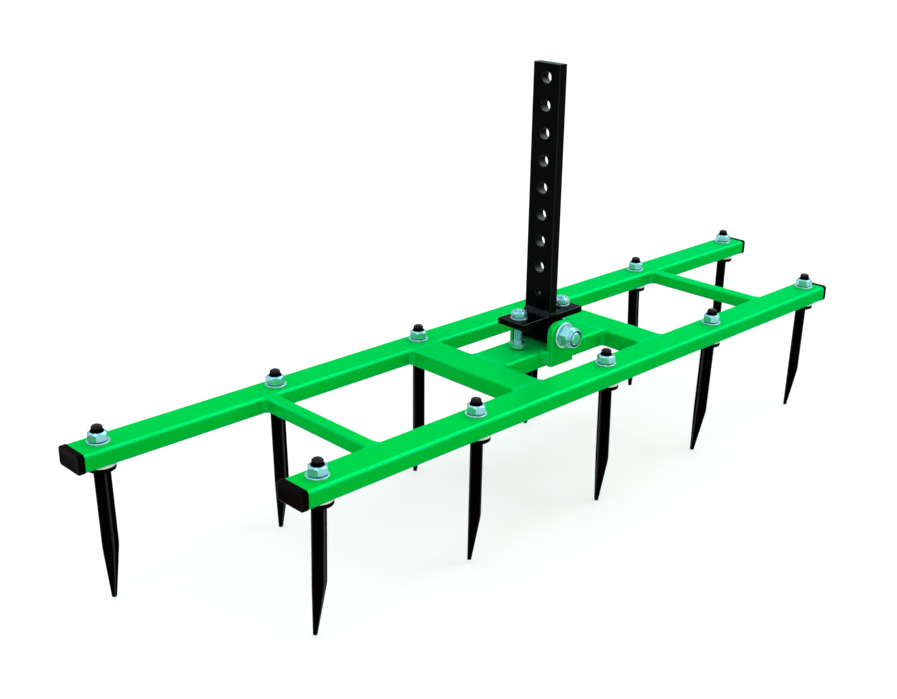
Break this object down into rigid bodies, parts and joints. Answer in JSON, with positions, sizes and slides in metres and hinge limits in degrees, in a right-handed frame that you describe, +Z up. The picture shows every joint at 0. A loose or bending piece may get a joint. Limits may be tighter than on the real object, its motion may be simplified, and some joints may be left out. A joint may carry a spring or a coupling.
{
  "type": "tow-behind tine harrow",
  "caption": "Towed harrow: welded tube frame with bolted square spike tines on two long beams, end caps, and an upright drilled hitch mast on a rolling pivot with stop bolts.",
  "frame": {"origin": "on the ground plane at the tips of the tines, midway along and across the frame, straight below the pivot and the mast", "axes": "+X along the two long beams, +Y from the beam with five tines (front) to the beam with six tines (rear) and along the pivot bolt, +Z up along the mast"},
  "size_m": [1.152, 0.248, 0.5145],
  "materials": {
    "green_paint": "gloss powder coat on steel tube",
    "black_paint": "gloss black paint on steel",
    "black_plastic": "moulded polyethylene, satin",
    "zinc_plate": "bright zinc plate on steel",
    "nylon": "dark nylon ring"
  },
  "bodies": {
    "frame": {"rear_beam": "green_paint", "front_beam": "green_paint", "mid_beam": "green_paint", "inner_cross_left": "green_paint", "inner_cross_right": "green_paint", "outer_cross_left": "green_paint", "outer_cross_right": "green_paint", "frame_welds": "green_paint", "front_ear": "green_paint", "rear_ear": "green_paint", "ear_welds": "green_paint", "rear_cap_left": "black_plastic", "rear_cap_right": "black_plastic", "front_cap_left": "black_plastic", "front_cap_right": "black_plastic", "rear_tine_1": "black_paint", "rear_tine_2": "black_paint", "rear_tine_3": "black_paint", "rear_tine_4": "black_paint", "rear_tine_5": "black_paint", "rear_tine_6": "black_paint", "front_tine_1": "black_paint", "front_tine_2": "black_paint", "front_tine_3": "black_paint", "front_tine_4": "black_paint", "front_tine_5": "black_paint", "tine_seat_washers": "zinc_plate", "tine_top_washers": "zinc_plate", "tine_nuts": "zinc_plate", "pivot_bolt": "zinc_plate", "pivot_head_washer": "zinc_plate", "pivot_nut_washer": "zinc_plate", "pivot_nut": "zinc_plate", "pivot_nut_insert": "nylon"},
    "hitch": {"pivot_block": "black_paint", "block_welds": "black_paint", "hitch_plate": "black_paint", "mast": "black_paint", "mast_weld": "black_paint", "stop_washer_left": "zinc_plate", "stop_washer_right": "zinc_plate", "stop_nut_left": "zinc_plate", "stop_nut_right": "zinc_plate"},
    "stop_bolt_left": {"stop_bolt_left": "zinc_plate"},
    "stop_bolt_right": {"stop_bolt_right": "zinc_plate"}
  },
  "joints": [
    {"name": "roll_pivot", "type": "hinge", "parent": "frame", "child": "hitch", "pos_m": [0, 0, 0.1965], "axis": [0, 1, 0], "range_deg": [-1.5, 1.5]},
    {"name": "stop_screw_left", "type": "slide", "parent": "hitch", "child": "stop_bolt_left", "axis": [0, 0, 1], "range_m": [0, 0.01]},
    {"name": "stop_screw_right", "type": "slide", "parent": "hitch", "child": "stop_bolt_right", "axis": [0, 0, 1], "range_m": [0, 0.01]}
  ]
}
